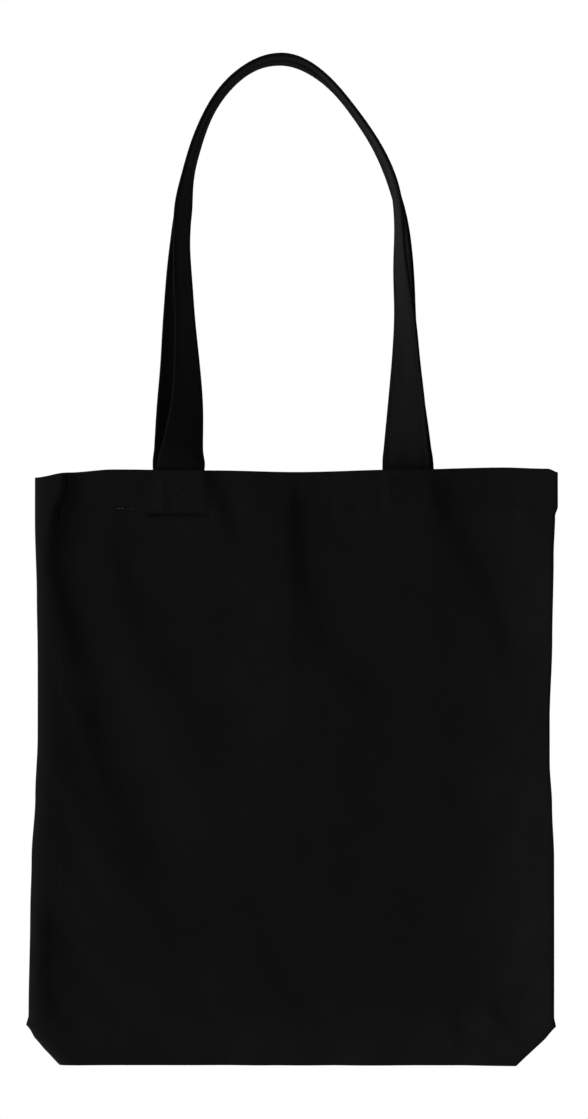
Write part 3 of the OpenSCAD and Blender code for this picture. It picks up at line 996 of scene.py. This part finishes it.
def make_bottom_seam():
    """The base's middle seam, which stands up inside the bag."""

    def wave(x):
        return 1.2 * ripples(x, 0 * x, 90, 81)

    reach = HALF_W - FOLD - 1
    x, z = np.meshgrid(np.arange(-reach, reach + 1, 3.0), np.linspace(RIDGE_Z - 1, SEAM_TOP_Z, 5))
    points = place(x, wave(x) * (z - RIDGE_Z + 1) / ALLOWANCE, z)
    edge_x = np.arange(-reach + 2, reach - 1, OVERLOCK_PITCH)
    raw_edge("bottom_seam", points, np.stack([x, z], -1), place(edge_x, wave(edge_x), SEAM_TOP_Z), (0, 0, 1))


def make_side_seam(side, name):
    """The side seam's allowance, which lies flat inside, from the slanted corner up to the hem."""

    def wave(z):
        return 0.3 * ripples(z, 0 * z, 75, 83 + side)

    outer, wide = HALF_W - 3.0, ALLOWANCE - 1
    u, z = np.meshgrid(np.linspace(0, wide, 6), np.arange(FOLD + 3, HEM_Z - 1, 4.0))
    points = place(side * (outer - u), wave(z) * u / ALLOWANCE, z)
    edge_z = np.arange(FOLD + 5, HEM_Z - 3, OVERLOCK_PITCH)
    edge = place(side * (outer - wide), wave(edge_z) * wide / ALLOWANCE, edge_z)
    raw_edge(f"{name}_side_seam", points, np.stack([u, z], -1), edge, (-side, 0, 0))


def make_corner(side, name):
    """The corner folded in behind the slanted edge, and the short seam that closes the base's end."""
    corner = HALF_W - FOLD
    v, w = np.meshgrid(np.linspace(0, 1, 12), np.linspace(0, 1, 12))
    z = 2.5 + (FOLD - 4.5) * w
    x = corner + 1 + (FOLD - 4) * w * v
    points = place(side * x, 0.5 * np.sin(math.pi * v) * w - 0.4, z)
    tuck = f"{name}_corner_tuck"
    plain_sheet(f"{tuck}_cloth", points, np.stack([x, z], -1), 2 * CLOTH, tuck)
    u, w = np.meshgrid(np.linspace(0, ALLOWANCE - 1, 6), np.linspace(3, FOLD - 3, 12))
    x = corner + 0.5 + u * ramp(w, 2, 12)
    points = place(side * x, 1.9 + 0.3 * ripples(u, w, 14, 91 + side), w)
    edge = place(side * (corner + ALLOWANCE - 0.5), 1.9, np.arange(13, FOLD - 4, OVERLOCK_PITCH))
    raw_edge(f"{name}_corner_seam", points, np.stack([u, w], -1), edge, (side, 0, 0))


# ---------------- camera, light and floor

VIEW_DISTANCE = 3.8  # from the camera to the front of the bag
VIEW_HEIGHT = 0.8146  # what the picture takes in from top to bottom at that distance
VIEW_MIDDLE = (0.0095, -0.364)  # x and z at the picture's middle
# each light's azimuth and elevation as seen from the bag, in degrees, its distance and size, and its power
LIGHTS = {
    "key": (-72, 10, 5.0, 2.0, 98),
    "fill": (-25, 35, 5.0, 3.0, 20),
    "back": (-158, 20, 5.0, 2.4, 24),
}
LIT_POINT = Vector((0, 0, -0.40))
AMBIENT = 0.075
FLOOR_DROP, FLOOR_RADIUS, FLOOR_CORNERS = 0.45, 2.3, 96


def make_camera():
    data = bpy.data.cameras.new("camera")
    data.sensor_fit = "AUTO"
    data.angle = 2 * math.atan(VIEW_HEIGHT / 2 / VIEW_DISTANCE)
    camera = add_object("camera", data)
    camera.location = (VIEW_MIDDLE[0], panel_low.y - VIEW_DISTANCE, VIEW_MIDDLE[1])
    camera.rotation_euler = (math.radians(90), 0, 0)
    bpy.context.scene.camera = camera


def make_light(name, azimuth, elevation, distance, size, power):
    """A soft panel aimed at the bag. Azimuth counts from the front, positive to the right."""
    data = bpy.data.lights.new(name, "AREA")
    data.shape, data.size, data.energy = "SQUARE", size, power
    light = add_object(name, data)
    a, e = math.radians(azimuth), math.radians(elevation)
    back = Vector((math.sin(a) * math.cos(e), -math.cos(a) * math.cos(e), math.sin(e)))
    light.location = LIT_POINT + back * distance
    light.rotation_euler = back.to_track_quat("Z", "Y").to_euler()


def make_world():
    """White wherever the camera looks past the bag, and a dim even light on it."""
    world = bpy.data.worlds.new("studio")
    world.use_nodes = True
    tree = world.node_tree
    tree.nodes.clear()
    out = tree.nodes.new("ShaderNodeOutputWorld")
    mix = tree.nodes.new("ShaderNodeMixShader")
    path = tree.nodes.new("ShaderNodeLightPath")
    for index, strength in ((1, AMBIENT), (2, 1.0)):
        white = tree.nodes.new("ShaderNodeBackground")
        white.inputs["Strength"].default_value = strength
        white.inputs["Color"].default_value = (1, 1, 1, 1)
        tree.links.new(white.outputs[0], mix.inputs[index])
    tree.links.new(path.outputs["Is Camera Ray"], mix.inputs[0])
    tree.links.new(mix.outputs[0], out.inputs[0])
    bpy.context.scene.world = world
    bpy.context.scene.view_settings.view_transform = "Standard"


def make_floor():
    """A plain pale disc some way below the bag."""
    turns = np.linspace(0, 2 * math.pi, FLOOR_CORNERS, endpoint=False)
    z = panel_low.z - FLOOR_DROP
    mesh = bpy.data.meshes.new("floor")
    ring = [(math.cos(a) * FLOOR_RADIUS, math.sin(a) * FLOOR_RADIUS, z) for a in turns]
    mesh.from_pydata(ring, [], [tuple(range(FLOOR_CORNERS))])
    n = Nodes("floor")
    speckle = n.noise(n.add("TexCoord").outputs["Object"], 3.0)
    n.feed(n.shader.inputs["Base Color"], n.shades(speckle, (0.86, 0.86, 0.86), (0.90, 0.90, 0.90)))
    n.shader.inputs["Roughness"].default_value = 0.9
    n.shader.inputs["Emission Color"].default_value = (1, 1, 1, 1)
    n.shader.inputs["Emission Strength"].default_value = 0.2
    mesh.materials.append(n.material)
    add_object("floor", mesh)


# ---------------- all of it

SETTLED.update({side: let_settle(side) for side in SIDES})
make_camera()
make_world()
make_floor()
for name, numbers in LIGHTS.items():
    make_light(name, *numbers)
for side in SIDES:
    make_strap_stitches(side)
    make_strap(side)
    make_hem_stitches(side)
    for name, middle in zip(("left", "right"), STRAPS[side]["ends"]):
        make_box_stitches(side, name, middle)
make_body()
make_bottom_seam()
for direction, name in ((-1, "left"), (1, "right")):
    make_side_seam(direction, name)
    make_corner(direction, name)
make_base()
